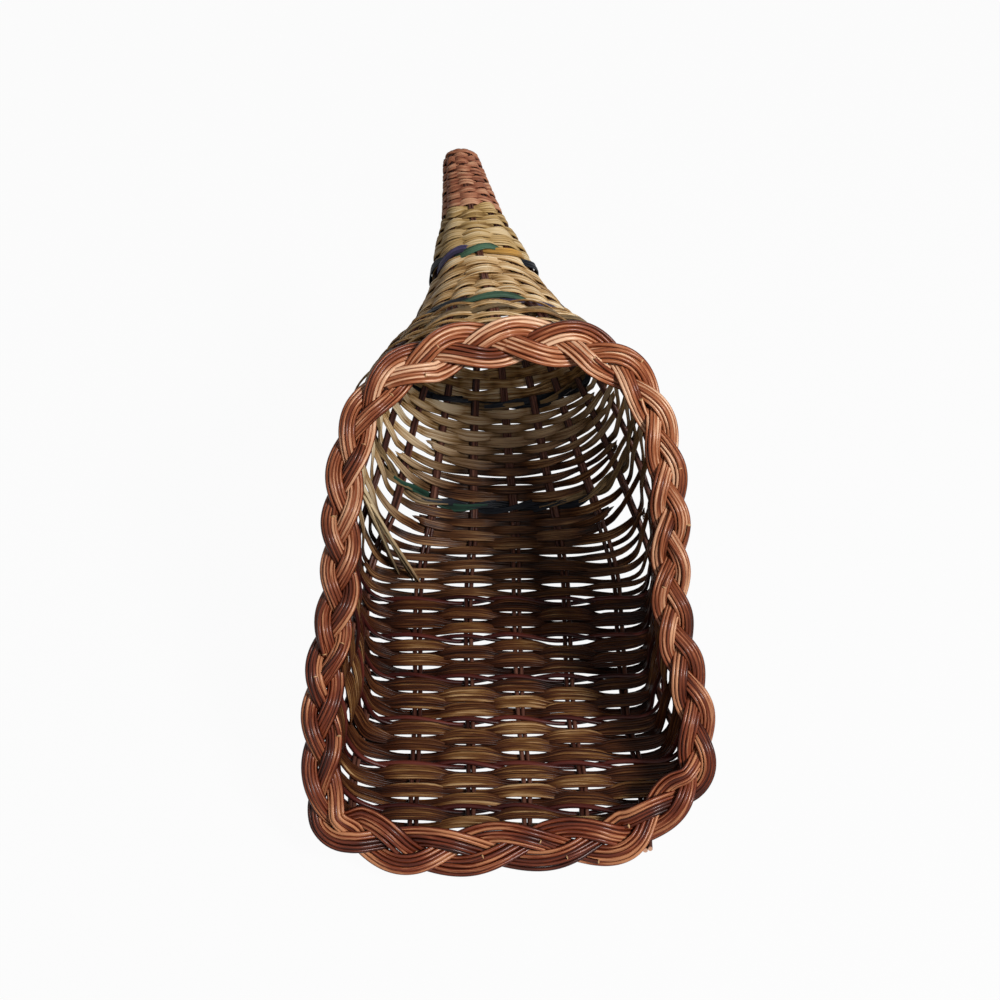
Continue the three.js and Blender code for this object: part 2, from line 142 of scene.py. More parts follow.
# %% Points and directions on the wall
INSIDE = 0.001  # keeps the very end within the last cell


def wall(way, turn):
    way, turn = np.broadcast_arrays(np.asarray(way, float), np.asarray(turn, float))
    a = np.clip((way - ways[0]) / WAY_STEP, 0, len(ways) - 1 - INSIDE)
    b = np.minimum((turn + 1) % 2 * HALF_TURN_STEPS, 2 * HALF_TURN_STEPS - INSIDE)
    i, j = a.astype(int), b.astype(int)
    p, q = (a - i)[..., None], (b - j)[..., None]
    near = grid[i, j] * (1 - p) + grid[i + 1, j] * p
    far = grid[i, j + 1] * (1 - p) + grid[i + 1, j + 1] * p
    return near * (1 - q) + far * q


def unit(vectors):
    return vectors / np.linalg.norm(vectors, axis=-1, keepdims=True)


def outward(way, turn):
    along = wall(np.asarray(way) + 1, turn) - wall(np.asarray(way) - 1, turn)
    around = wall(way, np.asarray(turn) + 0.01) - wall(way, np.asarray(turn) - 0.01)
    return unit(np.cross(along, around))


print("outward at the floor:", outward(100.0, 0.0).round(3))

# %% [markdown]
# ## The plane of the mouth
# The mouth is a slanted cut through the horn that faces a little to the right, so the corner there is cut
# back. The plane meets the wall at the rim, which the plait and the ends of the rows need. It is read off
# the grid: for each turn, the first way at which the wall lies behind the plane. A boolean cut would give
# the same line, but not as numbers.

# %% The rim of the mouth
MOUTH_TURN = radians(6.5)
MOUTH_REACH, MOUTH_RISE = 183, 186  # from the lip to the top of the mouth, backwards and upwards
TUCK = 7  # how far the rows go on under the border
facing_front = MOUTH_RISE * np.array([sin(MOUTH_TURN), -cos(MOUTH_TURN), 0])
MOUTH_FACING = (facing_front + (0, 0, MOUTH_REACH)) / hypot(MOUTH_REACH, MOUTH_RISE)
behind = (wall(0.0, 0.0) - grid) @ MOUTH_FACING
first = np.argmax(behind >= 0, axis=0)
columns = np.arange(grid.shape[1])
last_front, first_back = behind[first - 1, columns], behind[first, columns]
mouth_ways = ways[first] - WAY_STEP * first_back / (first_back - last_front)
full_turns = np.linspace(-1, 1, len(mouth_ways))


def mouth_way(turn):
    return np.interp(turn, full_turns, mouth_ways)


def reach(way, side, tuck=TUCK):
    """How far up one side the wall goes before it meets the border."""
    rim_ways = mouth_way(side * turns)
    return 1.0 if way - tuck > rim_ways[-1] else float(np.interp(way - tuck, rim_ways, turns))


print("mouth top at", mouth_ways[-1], "a row at 60 ends at", reach(60, -1), reach(60, 1))

# %% [markdown]
# ## One tree for every piece of cane
# Rods and flat weavers are the same thing to Blender: a section that follows a path. The tree below takes
# paths as loose edges, sweeps a round section along them and presses it to the piece's width and thickness.
# Each point of a path carries the side that the cane lies on and how far it spreads there. The tree keeps
# the place along and across the cane as an attribute, so that the grain can follow the fibres. Curve bevels
# could do the sweep, but not the flat, leaf-like spread.

# %% A new tree, and helpers that fill it
press = bpy.data.node_groups.new("Pressed cane", "GeometryNodeTree")


def plug(tree, made, links):
    """Links each socket to its source, or sets its own value."""
    for socket, source in dict(links).items():
        if isinstance(source, bpy.types.NodeSocket):
            tree.links.new(source, made.inputs[socket])
        else:
            made.inputs[socket].default_value = source


def node(tree, kind, links=(), **settings):
    made = tree.nodes.new(kind)
    for key, value in settings.items():
        setattr(made, key, value)
    plug(tree, made, links)
    return made


def math_out(tree, operation, a, b=0.0):
    return node(tree, "ShaderNodeMath", {0: a, 1: b}, operation=operation).outputs[0]


def times(tree, a, b):
    return math_out(tree, "MULTIPLY", a, b)


def vector_out(tree, operation, *inputs, **more):
    links = {**dict(enumerate(inputs)), **more}
    return node(tree, "ShaderNodeVectorMath", links, operation=operation).outputs[0]


print("new tree:", press.name)

# %% What the tree is given
GIVEN = {"Paths": "Geometry", "Sides": "Int", "Width": "Float", "Thickness": "Float"}
GIVEN |= {"Seed": "Int", "Finish": "Material"}
for title, kind in GIVEN.items():
    press.interface.new_socket(title, in_out="INPUT", socket_type="NodeSocket" + kind)
press.interface.new_socket("Cane", in_out="OUTPUT", socket_type="NodeSocketGeometry")
given = node(press, "NodeGroupInput").outputs
CANE_INPUTS = {s.name: s.identifier for s in press.interface.items_tree if s.in_out == "INPUT"}
print("inputs:", list(CANE_INPUTS))


# %% The sweep, and what its points know
def shape(kind, links=(), **settings):
    """A geometry node of the tree."""
    return node(press, "GeometryNode" + kind, links, **settings)


def named(name, kind):
    return shape("InputNamedAttribute", {"Name": name}, data_type=kind).outputs[0]


def captured(source, values, domain="POINT"):
    keep = shape("CaptureAttribute", {"Geometry": source}, domain=domain)
    for title, (kind, socket) in values.items():
        keep.capture_items.new(kind, title)
        press.links.new(socket, keep.inputs[title])
    return keep.outputs


lines = shape("MeshToCurve", {"Mesh": given["Paths"]}).outputs[0]
index = shape("InputIndex").outputs[0]
chance = node(press, "FunctionNodeRandomValue", {"ID": index, "Seed": given["Seed"]}, data_type="FLOAT")
each = captured(lines, {"tint": ("FLOAT", chance.outputs[1])}, domain="CURVE")
place = shape("InputPosition").outputs[0]
heading = shape("InputTangent").outputs[0]
measure = shape("SplineParameter").outputs
path = captured(
    each["Geometry"],
    {"place": ("VECTOR", place), "heading": ("VECTOR", heading), "run": ("FLOAT", measure["Length"])},
)
circle = shape("CurvePrimitiveCircle", {"Resolution": given["Sides"], "Radius": 1.0})
section = captured(circle.outputs[0], {"round": ("FLOAT", measure["Factor"])})
links = {"Curve": path["Geometry"], "Profile Curve": section["Geometry"], "Fill Caps": True}
sweep = shape("CurveToMesh", links)
print("nodes up to the sweep:", len(press.nodes))

# %% Pressing the section, and the attributes for the grain
turn_angle = times(press, section["round"], 2 * pi)
taper = named("taper", "FLOAT")
half_width = times(press, times(press, given["Width"], 0.5), taper)
half_width = times(press, half_width, named("spread", "FLOAT"))
half_thick = times(press, times(press, given["Thickness"], 0.5), taper)
sideways = times(press, math_out(press, "COSINE", turn_angle), half_width)
upwards = times(press, math_out(press, "SINE", turn_angle), half_thick)
cross = vector_out(press, "CROSS_PRODUCT", named("lie", "FLOAT_VECTOR"), path["heading"])
cross = vector_out(press, "NORMALIZE", cross)
lift = vector_out(press, "CROSS_PRODUCT", path["heading"], cross)
spot = vector_out(press, "ADD", path["place"], vector_out(press, "SCALE", cross, Scale=sideways))
spot = vector_out(press, "ADD", spot, vector_out(press, "SCALE", lift, Scale=upwards))
cane = shape("SetPosition", {"Geometry": sweep.outputs[0], "Position": spot})
fibre = node(press, "ShaderNodeCombineXYZ", {0: path["run"], 1: sideways, 2: upwards}).outputs[0]
for title, kind, value in (("fibre", "FLOAT_VECTOR", fibre), ("tint", "FLOAT", each["tint"])):
    links = {"Geometry": cane.outputs[0], "Name": title, "Value": value}
    cane = shape("StoreNamedAttribute", links, data_type=kind, domain="POINT")
cane = shape("SetShadeSmooth", {"Geometry": cane.outputs[0]})
cane = shape("RealizeInstances", {"Geometry": cane.outputs[0]})
cane = shape("SetMaterial", {"Geometry": cane.outputs[0], "Material": given["Finish"]})
node(press, "NodeGroupOutput", {"Cane": cane.outputs[0]})
print("nodes in the tree:", len(press.nodes))

# %% Paths, and the piece that is made of them
CARRIED = ("spread", "taper", "dye", "shade")
pieces, finishes = [], {}  # the next part makes the finishes


class Paths:
    """Paths of one piece in millimetres, and what their points carry."""

    def __init__(self):
        self.points, self.edges, self.carried, self.count = [], [], [], 0

    def lay(self, points, lie, spread=1.0, taper=1.0, dye=0.0, closed=False, shade=0.0):
        n = len(points)
        run = self.count + np.arange(n)
        self.edges.append(np.stack((run[:-1], run[1:]), axis=1))
        if closed:
            self.edges.append([[run[-1], run[0]]])
        values = [np.broadcast_to(value, (n,)) for value in (spread, taper, dye, shade)]
        self.points.append(points)
        self.carried.append(np.column_stack((np.broadcast_to(lie, (n, 3)), *values)))
        self.count += n


def cane_piece(paths, replaced, slot, width, thickness, sides=6):
    name = "cane_" + replaced
    mesh = bpy.data.meshes.new(name)
    points = np.concatenate(paths.points) * MM
    mesh.from_pydata(points.tolist(), np.concatenate(paths.edges).tolist(), [])
    carried = np.concatenate(paths.carried).astype(np.float32)
    mesh.attributes.new("lie", "FLOAT_VECTOR", "POINT").data.foreach_set("vector", carried[:, :3].ravel())
    for i, title in enumerate(CARRIED):
        values = np.ascontiguousarray(carried[:, 3 + i])
        mesh.attributes.new(title, "FLOAT", "POINT").data.foreach_set("value", values)
    piece = bpy.data.objects.new(name, mesh)
    bpy.context.collection.objects.link(piece)
    modifier = piece.modifiers.new("Pressed cane", "NODES")
    modifier.node_group = press
    sizes = {"Sides": sides, "Width": width * MM, "Thickness": thickness * MM, "Seed": len(pieces)}
    for title, value in (*sizes.items(), ("Finish", finishes[slot])):
        modifier[CANE_INPUTS[title]] = value
    graph = bpy.context.evaluated_depsgraph_get()
    plain = bpy.data.meshes.new_from_object(piece.evaluated_get(graph), depsgraph=graph)
    piece.modifiers.clear()
    piece.data = plain
    for title in ("lie", "spread", "taper"):
        plain.attributes.remove(plain.attributes[title])
    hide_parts(replaced)
    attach(piece, "root")
    pieces.append(piece)


print("points carry their lie,", ", ".join(CARRIED))

# %% [markdown]
# ## Finishes
# The cane is dyed and varnished by hand. Each strand took the stain differently, fine darker fibres run along
# it, and the varnish shines most on the thick rods of the border. A painted highlight lightens the face of
# each strand and a painted shade darkens its edges, and painted light also lightens the top and right of the
# border. One function makes all finishes: noise stretched along the fibre attribute gives the grain, slow
# noise gives the stain, and the strand's own tint and the shade on its path, which holds tone, wear, painted
# light and painted shade, shift the whole colour. A picture of cane could do it too, but it would repeat.


# %% Colours, ramps and mixes
def colour(code):
    """A screen colour in the linear light that sockets take."""
    parts = [int(code[i : i + 2], 16) / 255 for i in (0, 2, 4)]
    linear = [c / 12.92 if c <= 0.04045 else ((c + 0.055) / 1.055) ** 2.4 for c in parts]
    return (*linear, 1.0)


def ramp_out(tree, value, shades, constant=False):
    ramp = node(tree, "ShaderNodeValToRGB", {"Fac": value})
    marks = ramp.color_ramp.elements
    while len(marks) < len(shades):
        marks.new(1.0)
    for mark, (at, code) in zip(marks, shades.items()):
        mark.position = at
        mark.color = colour(code)
    if constant:
        ramp.color_ramp.interpolation = "CONSTANT"
    return ramp.outputs[0]


def mix_out(tree, blend, factor, a, b):
    links = {0: factor, 6: a, 7: b}  # where a Mix node has its factor and its two colours
    return node(tree, "ShaderNodeMix", links, data_type="RGBA", blend_type=blend).outputs[2]


print("middle grey is", round(colour("808080")[0], 3))

# %% From dark to pale along a strand
GRAIN_STRETCH, GRAIN_DETAIL = (60, 1500, 1500), 4.0
STAIN_STRETCH, STAIN_DETAIL = (22, 260, 260), 2.0
STRAND_SHIFT = 9.0  # moves the noise on by the tint, so that strands differ
MIDDLE, RIDGE_LIGHT_MIDDLE = 0.5, 0.65  # the means of noise and tint, and of the painted light on a strand's face


def attribute_out(tree, name, output="Fac"):
    return node(tree, "ShaderNodeAttribute", attribute_name=name).outputs[output]


def noise_out(tree, vector, stretch, detail):
    across = vector_out(tree, "MULTIPLY", vector, stretch)
    links = {"Vector": across, "Scale": 1.0, "Detail": detail, "Roughness": 0.6}
    return node(tree, "ShaderNodeTexNoise", links).outputs["Fac"]


def strand_value(tree, thick, painted_relief, mix):
    """The path's shade with tint, stain, grain and a painted light on the ridge of the strand added, and the
    grain by itself.
    """
    fibre = attribute_out(tree, "fibre", "Vector")
    tint = attribute_out(tree, "tint")
    shift = node(tree, "ShaderNodeCombineXYZ", {0: times(tree, tint, STRAND_SHIFT)})
    moved = vector_out(tree, "ADD", fibre, shift.outputs[0])
    stain = noise_out(tree, moved, STAIN_STRETCH, STAIN_DETAIL)
    grain = noise_out(tree, moved, GRAIN_STRETCH, GRAIN_DETAIL)
    # painted light: a strand is lighter on its face and darker at its edges, a painted highlight and a
    # painted shade in the grooves
    depth = node(tree, "ShaderNodeSeparateXYZ", {0: fibre}).outputs["Z"]
    painted_ridge_light = math_out(tree, "DIVIDE", math_out(tree, "ABSOLUTE", depth), thick / 2 * MM)
    start = 0.5 - MIDDLE * sum(mix) - RIDGE_LIGHT_MIDDLE * painted_relief
    value = math_out(tree, "ADD", attribute_out(tree, "shade"), start)
    for part, amount in zip((tint, stain, grain, painted_ridge_light), (*mix, painted_relief)):
        value = math_out(tree, "ADD", value, times(tree, part, amount))
    return value, grain


def height_and_light_out(tree, low, high, slant):
    """0 up to a low height and 1 from a high one. The slant tilts both from left to right, and the finishes
    use the blend to paint light on the lit side.
    """
    spot = node(tree, "ShaderNodeTexCoord").outputs["Object"]
    parts = node(tree, "ShaderNodeSeparateXYZ", {0: spot}).outputs
    height = math_out(tree, "ADD", parts["Z"], times(tree, parts["X"], slant))
    return node(tree, "ShaderNodeMapRange", {"Value": height, 1: low, 2: high}).outputs[0]


print("noise scales: grain", GRAIN_STRETCH, "stain", STAIN_STRETCH)

# %% A function for cane finishes
ROUGHER, SMOOTHER = 0.12, 0.1  # how far the grain moves the roughness
SPECULAR, COAT_ROUGHNESS = 0.06, 0.25
BUMP_STRENGTH, BUMP_DEPTH = 0.5, 0.2 * MM


def cane_finish(
    slot, look, shades, rough, thick, coat=0.1, painted_relief=0.3, mix=(0.5, 0.5, 0.55),
    top=None, heights_and_light=None, dyes=None, cut=None,
):
    """shades run from the darkest colour to the palest. top takes over from them higher up and to one side:
    painted light on the border, and on the heel a paler straw with painted light on the lit left. cut colours
    the cut ends.
    """
    material = bpy.data.materials.new(f"{slot}_{look}")
    material.use_nodes = True
    tree = material.node_tree
    shader = tree.nodes["Principled BSDF"]
    value, grain = strand_value(tree, thick, painted_relief, mix)
    base = ramp_out(tree, value, shades)
    # painted light: the top ramp takes over higher up and towards the lit side
    if top:
        base = mix_out(tree, "MIX", height_and_light_out(tree, *heights_and_light), base, ramp_out(tree, value, top))
    if dyes:
        dyed = ramp_out(tree, attribute_out(tree, "dye"), dyes, constant=True)
        base = mix_out(tree, "MULTIPLY", 1.0, dyed, base)
    if cut:
        base = mix_out(tree, "MIX", attribute_out(tree, "dye"), base, colour(cut))
    links = {"Value": grain, 1: 0.25, 2: 0.75, 3: rough + ROUGHER, 4: rough - SMOOTHER}
    roughness = node(tree, "ShaderNodeMapRange", links).outputs[0]
    links = {"Height": grain, "Strength": BUMP_STRENGTH, "Distance": BUMP_DEPTH}
    bump = node(tree, "ShaderNodeBump", links).outputs[0]
    varnish = {"Specular IOR Level": SPECULAR, "Coat Weight": coat, "Coat Roughness": COAT_ROUGHNESS}
    plug(tree, shader, {"Base Color": base, "Roughness": roughness, "Normal": bump, **varnish})
    finishes[slot] = material


# %% The finishes of this basket
cane_finish(
    "stake", "dark_rod",
    {0.15: "1a0b09", 0.5: "3c2019", 0.85: "704a3c"},
    rough=0.42, coat=0.12, thick=2.7, cut="c79a80",
)
cane_finish(
    "floor_weaver", "olive_brown",
    {0.15: "140603", 0.43: "33170a", 0.63: "4d2b17", 0.82: "724e2a", 1.0: "aa8860"},
    rough=0.48, thick=1.1, painted_relief=0.5, mix=(0.3, 0.8, 1.1),
)
cane_finish(
    "floor_pairing", "burgundy",
    {0.1: "160605", 0.5: "36120f", 0.9: "5f2b22"},
    rough=0.4, coat=0.12, thick=2.4,
)
# brown low down and paler straw higher up, and painted light makes the rows paler towards the lit left inside
cane_finish(
    "back_weaver", "brown_straw",
    {0.15: "170a05", 0.46: "361e10", 0.71: "57361f", 1.0: "8f6c48"},
    rough=0.5, thick=1.0, painted_relief=0.5, mix=(0.3, 0.8, 1.0),
    top={0.1: "5e4022", 0.37: "a17b4a", 0.58: "c7a67a", 0.85: "e3cfac"},
    heights_and_light=(0.05, 0.12, -0.25), cut="dcc69c",
)
cane_finish(
    "tail_weaver", "khaki",
    {0.18: "6f532e", 0.47: "a0814f", 0.72: "bb9d6e", 1.0: "d2ba92"},
    rough=0.55, thick=0.9, painted_relief=0.5,
)
cane_finish(
    "tip_weaver", "red_brown",
    {0.1: "52281a", 0.4: "85503a", 0.7: "a16b50", 0.95: "b98a6c"},
    rough=0.5, coat=0.12, thick=0.9,
)
dyes = {0.0: "54775e", 0.2: "4a4362", 0.4: "b98a45", 0.6: "23272f", 0.8: "8d7350", 0.9: "2d4b3d"}
cane_finish(
    "accent_pairing", "dyed",
    {0.1: "808080", 0.5: "d0d0d0", 0.9: "ffffff"},
    rough=0.48, thick=1.0, dyes=dyes,
)
# painted light: the top ramp makes the border lighter at its top and on its right side, where the lamp falls
cane_finish(
    "border_strand", "varnished",
    {0.1: "120301", 0.48: "421709", 0.74: "6e311b", 1.0: "ad7450"},
    rough=0.38, coat=0.25, thick=2.4, painted_relief=0.7, mix=(0.5, 0.7, 1.3),
    top={0.1: "2b0d05", 0.48: "7a3b20", 0.74: "a86843", 1.0: "e2ba98"},
    heights_and_light=(0.07, 0.225, 0.22), cut="d0a878",
)
print("finishes:", sorted(finishes))

# %% [markdown]
# ## Where the rows lie
# The rows of the real basket come in groups: olive rows and dark twined pairs on the floor, brown rows and
# dyed pairs round the heel, khaki rows on the tail and fine red-brown ones at the tip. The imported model
# has one flat band for each group of rows, so its list of courses is worked out again here.

# %% Courses: kind, number, from, to
FIRST_COURSE, TAIL_WOVEN, TIP_WOVEN = 14, 39, 38
TIP_START = TIP_END - TIP_WOVEN
TAIL_START = TIP_START - TAIL_WOVEN
olive, dark = ("floor_weaver", 2), ("floor_pairing", 1)
zones = [
    ([olive, dark] + [olive, olive, dark] * 5, FIRST_COURSE, MOUTH_TOP),
    (([("back_weaver", 3)] * 3 + [("accent_pairing", 1)]) * 3, MOUTH_TOP, TAIL_START),
    ([("tail_weaver", 1)] * 4, TAIL_START, TIP_START),
    ([("tip_weaver", 1)] * 3, TIP_START, TIP_END),
]
courses, numbers = [], {}
for zone, start, stop in zones:
    whole, at = sum(share for _, share in zone), start
    for kind, share in zone:
        numbers[kind] = numbers.get(kind, 0) + 1
        courses.append((kind, f"{kind}_{numbers[kind]:02d}", at, at + (stop - start) * share / whole))
        at = courses[-1][3]


def of_kind(kind):
    """Name, start and end of each course of one kind."""
    return [course[1:] for course in courses if course[0] == kind]


print("courses:", numbers)

# %% [markdown]
# ## How a weaver passes the stakes
# A weaver goes outside one stake and inside the next, and the row after it does the opposite. Seen from
# inside, a row spreads like a leaf where it lies on a stake and closes up where it dives behind the next.
# That spread makes the pointed gaps on both sides of each stake, which give this basket its look. The rows
# could be bent by hand, but a wave with a little chance in it keeps all of them in step with the stakes.

# %% The weave as a wave round the horn
STAKES, STAKE_PHASE = 20, 0.23
STEPS_A_STAKE = 9
FLAT = 0.45  # how much longer than a cosine a row stays on one side
rng = np.random.default_rng(11)


def stake_count(turn, every=1):
    """Whole numbers at the stakes, or at every second one past the neck."""
    return (turn * STAKES / 2 - STAKE_PHASE) / every


def weave(count):
    wave = np.cos(pi * count)
    return wave * (1 + FLAT - FLAT * wave**2)


def wander(turn, size):
    """A slow drift without a pattern, the same each run."""
    drift = 0
    for pace in (1, 2, 3, 5):
        drift = drift + np.sin(pi * pace * turn + rng.uniform(0, 2 * pi)) * rng.uniform(0.3, 1)
    return drift * size / 2


def by_hand(turn, low, high):
    """A different value at each stake, as no two crossings are equally tight."""
    pulls = rng.uniform(low, high, STAKES + 1)
    pulls[-1] = pulls[0]
    return np.interp(turn, np.linspace(-1, 1, STAKES + 1), pulls)


def round_steps(start, stop, every=1):
    count = max(int((stop - start) * STAKES / 2 * STEPS_A_STAKE / every), 4)
    return np.linspace(start, stop, count + 1)


print("weave at stakes 0 to 3:", weave(np.arange(4)).round(2))

# %% Rows on the bend of the horn
BACK_LEAN = ((200, 250, 312, 345, 376, 396), (0, 8, 25, 17, 5, 0))  # ways, and how far rows lean there
LEAN_START = 0.4  # the turn from which they lean


def crossing(way, turn):
    """On top rows lean back to the tail, because the back is shorter than the underside."""
    rise = np.clip((np.abs(turn) - LEAN_START) / (1 - LEAN_START), 0, 1)
    return way + np.interp(way, *BACK_LEAN) * rise * rise * (3 - 2 * rise)


def real_step(way, turn):
    """The millimetres in one step along the way, fewer on the inside of a bend."""
    ahead, back = crossing(way + 1, turn), crossing(way - 1, turn)
    return np.linalg.norm(wall(ahead, turn) - wall(back, turn), axis=-1) / 2


print("a step at the neck, below and on top:", real_step(NECK, np.array([0.0, 1.0])).round(2))

# %% Strands side by side in a row
RUB_AND_SHADE, DIVE = 0.36, 0.55  # how much paler a row is where it stands out, from wear and painted light, and how much darker where it dives, as painted shade; and where in the wave it is darkest
RUB_SHADE_CURVE, RUB_SHADE_MIDDLE = 0.7, 0.68
SQUEEZE, LEAST = 1.4, 0.45  # rows narrow where a step is below 1 / SQUEEZE, down to LEAST
LEAF_CURVE = 0.5
EDGE_ON = 0.85  # a strand's share of its width where it doesn't show
ROW_WIDTHS, STRAND_SIZES = (0.74, 1.18), (0.88, 1.1)
ROW_PULL, ROW_DRIFT, STRAND_PULL, STRAND_LIFT = 0.75, 0.3, 0.22, 0.15  # out of true, in millimetres
ROW_TONE, STAKE_TONE = 0.1, 0.13  # how far rows and crossings differ


def rubbed_and_shaded(wave):
    """Paler where a row stands out inside or outside, as wear and painted light, and darkest where it dives
    under its neighbours, as painted shade.
    """
    return RUB_AND_SHADE * ((np.abs(wave - DIVE) / (1 + DIVE)) ** RUB_SHADE_CURVE - RUB_SHADE_MIDDLE)


def lay_row(
    paths, way, turn, wave, offset, strands, gaps,
    lean=1, closed=False, dye=0.0, stack=0.15, narrow=1.0, tone_and_shade=0.0, leaf=1.0,
):
    """gaps: how far apart strands are where they show and where not. lean: 1 shows inside and -1 outside."""
    shows = np.clip((leaf - lean * wave) / (leaf + 1), 0, 1) ** LEAF_CURVE
    step = real_step(way, turn)
    narrow = narrow * np.clip(SQUEEZE * step, LEAST, 1)
    apart = (gaps[1] + (gaps[0] - gaps[1]) * shows) * by_hand(turn, *ROW_WIDTHS) * narrow
    pulled = by_hand(turn, -ROW_PULL, ROW_PULL) + wander(turn, ROW_DRIFT)
    # the row's own tone and, on the floor, a painted shade in the corners
    shade = tone_and_shade + rng.uniform(-ROW_TONE, ROW_TONE) + by_hand(turn, -STAKE_TONE, STAKE_TONE)
    # wear and painted light where the row stands out, painted shade where it dives
    shade = shade + rubbed_and_shaded(lean * wave)
    spread = (EDGE_ON + (1 - EDGE_ON) * shows) * narrow
    for k in range(strands):
        beside = (k - (strands - 1) / 2) * apart + pulled + by_hand(turn, -STRAND_PULL, STRAND_PULL)
        out = wave * offset + rng.uniform(-stack, stack) + by_hand(turn, -STRAND_LIFT, STRAND_LIFT)
        spot = crossing(way + beside / step, turn)
        facing = outward(spot, turn)
        points = wall(spot, turn) + facing * out[:, None]
        paths.lay(points, facing, spread, rng.uniform(*STRAND_SIZES), dye, closed, shade)


print("shade inside, half way and outside:", rubbed_and_shaded(np.array([-1, 0, 1])).round(2))

# %% [markdown]
# ## Stakes
# Each stake is a pair of dark rods with a thin gap between them. Behind the heel the rods get thinner and a
# third one joins each pair. Past the neck the bye-stakes, every second pair, are split finer until they end
# between the rows of the tail. Rods are round, so the tree gets the same width and thickness. Curves with a
# round bevel would look alike, but the grain couldn't follow them. Some cut ends stick out below the border.

# %% Long stakes and bye-stakes
ROD = 2.7
BYE_STAKE_END, BYE_STAKE_THIN = 364, 0.3
ROD_SHARES = ((0, 215, NECK, TIP_END), (1, 1, 0.7, 0.34))
HALF_GAPS = ((0, 200, 250, TIP_END), (1.5, 1.5, 1.6, 0.85))
THIRD_ROD, THIRD_ROD_IN = ((225, 245), (0.3, 0.9)), -0.2
STAKE_STEP = 2.2
CUT_STAKE, CUT_ASIDES, CUT_OUT, CUT_SIZE = 2, (-2.3, 0.2, 2.4), 4.6, 0.95
CUT_FROM, CUT_TO, CUT_POINTS = (1, 3.5), 12, 12


def lay_rod(paths, way, turn, aside, share=1.0, out=0.0, dye=0.0):
    facing = outward(way, turn)
    across = unit(np.cross(wall(way + 1, turn) - wall(way - 1, turn), facing))
    bent = wander(way / 200, 0.35)
    points = wall(way, turn) + across * (aside + bent)[:, None] + facing * out
    paths.lay(points, facing, 1.0, np.interp(way, *ROD_SHARES) * share, dye)


def stake_piece(place, number):
    turn = (place + STAKE_PHASE) / (STAKES / 2)
    bye = place % 2 == 1
    start = mouth_way(turn) + 3
    stop = BYE_STAKE_END if bye else TIP_END
    way = np.linspace(start, stop, int((stop - start) / STAKE_STEP))
    paths = Paths()
    thin = np.interp(way, (NECK, BYE_STAKE_END), (1, BYE_STAKE_THIN)) if bye else np.ones(len(way))
    for side in (-1, 1):
        lay_rod(paths, way, turn, side * np.interp(way, *HALF_GAPS) * thin, thin)
    late = way > THIRD_ROD[0][0]
    lay_rod(paths, way[late], turn, 0, np.interp(way[late], *THIRD_ROD) * thin[late], THIRD_ROD_IN)
    if place == CUT_STAKE:
        cut = np.where(np.arange(CUT_POINTS) == 0, 1.0, 0.0)
        for aside in CUT_ASIDES:
            end = np.linspace(rng.uniform(*CUT_FROM), CUT_TO, CUT_POINTS)
            lay_rod(paths, end, turn, aside, CUT_SIZE, CUT_OUT, cut)
    name = f"{'bye_stake' if bye else 'long_stake'}_{number:02d}"
    cane_piece(paths, name, "stake", ROD, ROD, sides=8)


for i in range(STAKES):
    stake_piece(i - STAKES // 2, i // 2 + 1)
print("stakes:", len(pieces))

# %% [markdown]
# ## The floor and the sides of the mouth
# Each olive row is a bundle of six fine split canes. It starts at one side of the border, crosses the floor
# and ends at the other side. In the corners a painted shade makes it darker. Dark pairs lie between the rows,
# twined so that one rod passes each stake inside and the other outside: a helix along the row. An array of
# one row would be quick, but all rows would be the same, so each is laid with small faults.

# %% Olive rows
WEAVE_OUT = 2.05  # how far a row stands out from the wall
ROWS_IN_COURSE = (0.25, 0.75)
FLOOR_LEAF = 0.15  # the lower, the sooner a row closes up between stakes
# the second value is a painted shade on the rows in the corners of the floor
FLOOR_TONE, CORNER_SHADE = -0.03, -0.2
CORNER_TURN, CORNER_SPAN = 0.27, 0.07
row = 0  # each row does the opposite of the last


def open_row(way):
    return round_steps(-reach(way, -1), reach(way, 1))


def floor_weaver_piece(name, start, stop):
    global row
    paths = Paths()
    for share in ROWS_IN_COURSE:
        centre = start + (stop - start) * share
        turn = open_row(centre)
        wave = weave(stake_count(turn) + row)
        # painted shade in the corners of the floor, next to the walls
        corner_shade_mask = np.exp(-(((np.abs(turn) - CORNER_TURN) / CORNER_SPAN) ** 2))
        tone_and_shade = FLOOR_TONE + CORNER_SHADE * corner_shade_mask
        way = centre + wander(turn, 0.5)
        lay_row(paths, way, turn, wave, WEAVE_OUT, strands=6, gaps=(1.7, 1.1), tone_and_shade=tone_and_shade, leaf=FLOOR_LEAF)
        row += 1
    cane_piece(paths, name, "floor_weaver", width=2.2, thickness=1.1)


for course in of_kind("floor_weaver"):
    floor_weaver_piece(*course)
print("olive rows:", row)

# %% Dark twined pairs
PAIR_OUT, PAIR_SWING = 2.35, 1.2


def floor_pairing_piece(name, start, stop):
    centre = (start + stop) / 2
    turn = open_row(centre)
    count = pi * stake_count(turn)
    drift = wander(turn, 0.3)
    paths = Paths()
    for side in (1, -1):
        way = centre + side * PAIR_SWING * np.sin(count) + drift
        lay_row(paths, way, turn, side * np.cos(count), PAIR_OUT, 1, (0, 0), stack=0.1)
    cane_piece(paths, name, "floor_pairing", width=3.1, thickness=2.4, sides=8)


for course in of_kind("floor_pairing"):
    floor_pairing_piece(*course)
print("pieces so far:", len(pieces))

# %% [markdown]
# ## The heel
# The floor turns up behind the mouth, so the underside is much longer than the back. Makers fill that in
# with short rows: a weaver goes part of the way up, turns round a stake and comes back. Each group here has
# two rings, open where they meet the border, and one such loop between them. Rings set wider apart below
# would leave holes, so the loop's share of the width fades out at its ends and the rings close up over it.

